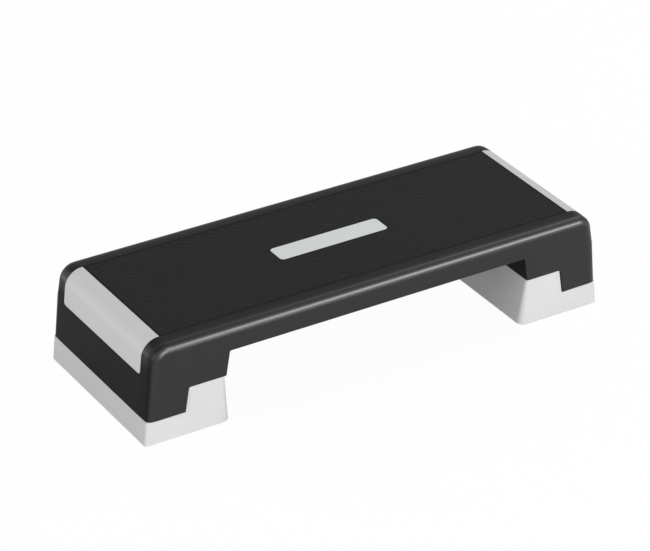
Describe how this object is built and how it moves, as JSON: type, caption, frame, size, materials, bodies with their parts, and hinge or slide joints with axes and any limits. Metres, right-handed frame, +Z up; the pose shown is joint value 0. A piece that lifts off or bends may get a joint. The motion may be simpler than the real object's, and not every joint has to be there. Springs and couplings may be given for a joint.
{
  "type": "aerobic step platform",
  "caption": "Long stepping platform with a non-slip tread and rounded end inserts, on two lift-off stepped risers with rubber pads",
  "frame": {"origin": "on the floor, under the middle of the deck", "axes": "+X along the length to the right end, +Y to the back long side, +Z up through the tread"},
  "size_m": [0.9998, 0.368, 0.2],
  "materials": {
    "deck_plastic": "satin moulded black polypropylene",
    "tread_rubber": "matt black non-slip tread with fine ribbing",
    "plate_plastic": "satin light grey",
    "insert_plastic": "satin light grey",
    "riser_plastic": "satin off-white moulded polypropylene",
    "pad_rubber": "matt black",
    "screw_steel": "zinc plated"
  },
  "bodies": {
    "deck": {"deck_shell": "deck_plastic", "tread_mat": "tread_rubber", "centre_plate": "plate_plastic", "left_end_insert": "insert_plastic", "right_end_insert": "insert_plastic", "left_insert_screws": "screw_steel", "right_insert_screws": "screw_steel", "deck_pad_front_left": "pad_rubber", "deck_pad_back_left": "pad_rubber", "deck_pad_front_right": "pad_rubber", "deck_pad_back_right": "pad_rubber"},
    "left_riser": {"left_riser": "riser_plastic", "left_riser_pad_front_outer": "pad_rubber", "left_riser_pad_front_inner": "pad_rubber", "left_riser_pad_back_outer": "pad_rubber", "left_riser_pad_back_inner": "pad_rubber"},
    "right_riser": {"right_riser": "riser_plastic", "right_riser_pad_front_outer": "pad_rubber", "right_riser_pad_front_inner": "pad_rubber", "right_riser_pad_back_outer": "pad_rubber", "right_riser_pad_back_inner": "pad_rubber"}
  },
  "joints": [
    {"name": "left_riser_lift_off", "type": "slide", "parent": "deck", "child": "left_riser", "axis": [0, 0, -1], "range_m": [0, 0.06]},
    {"name": "right_riser_lift_off", "type": "slide", "parent": "deck", "child": "right_riser", "axis": [0, 0, -1], "range_m": [0, 0.06]}
  ]
}
